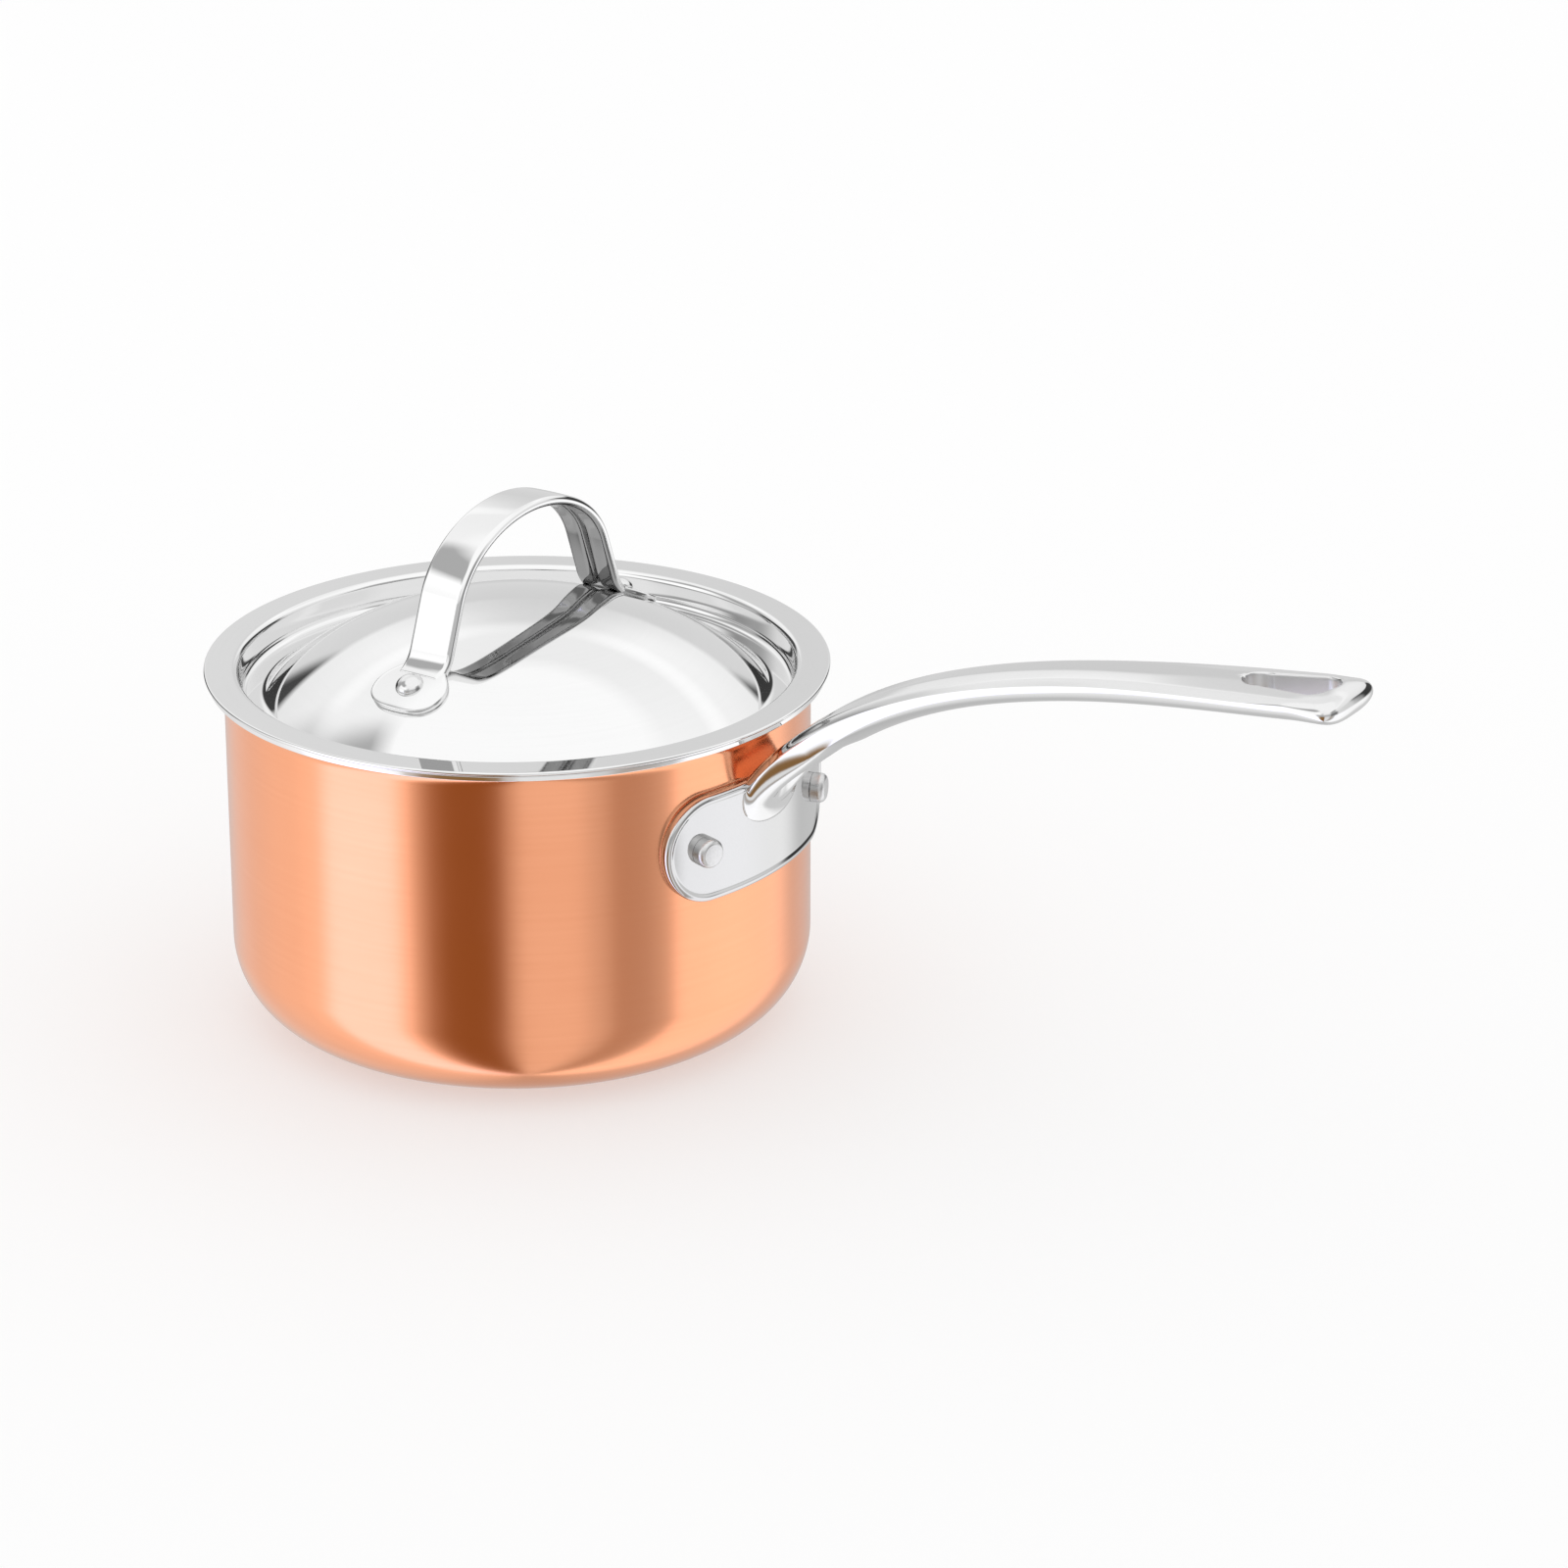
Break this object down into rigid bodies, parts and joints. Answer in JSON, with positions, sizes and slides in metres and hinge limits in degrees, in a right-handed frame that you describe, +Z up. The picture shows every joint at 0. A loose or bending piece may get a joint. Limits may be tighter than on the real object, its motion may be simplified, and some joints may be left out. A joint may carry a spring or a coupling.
{
  "type": "saucepan",
  "caption": "Copper saucepan with a stainless lining, a long riveted handle with a hanging slot, and a domed lift-off lid with a strap handle.",
  "frame": {"origin": "centre of the base's underside", "axes": "+Z up, +X from the pan's axis along the long handle"},
  "size_m": [0.3499, 0.176, 0.1515],
  "materials": {
    "copper": "polished",
    "core": "plain",
    "steel": "mirror polished",
    "rivet": "satin"
  },
  "bodies": {
    "pan": {"copper_shell": "copper", "aluminium_core": "core", "steel_lining": "steel", "handle": "steel", "handle_rivet_left": "rivet", "handle_rivet_right": "rivet"},
    "cover": {"lid": "steel", "lid_handle": "steel", "lid_rivet_front": "rivet", "lid_rivet_back": "rivet"}
  },
  "joints": [
    {"name": "lid_lift", "type": "slide", "parent": "pan", "child": "cover", "axis": [0, 0, 1], "range_m": [0, 0.12]}
  ]
}
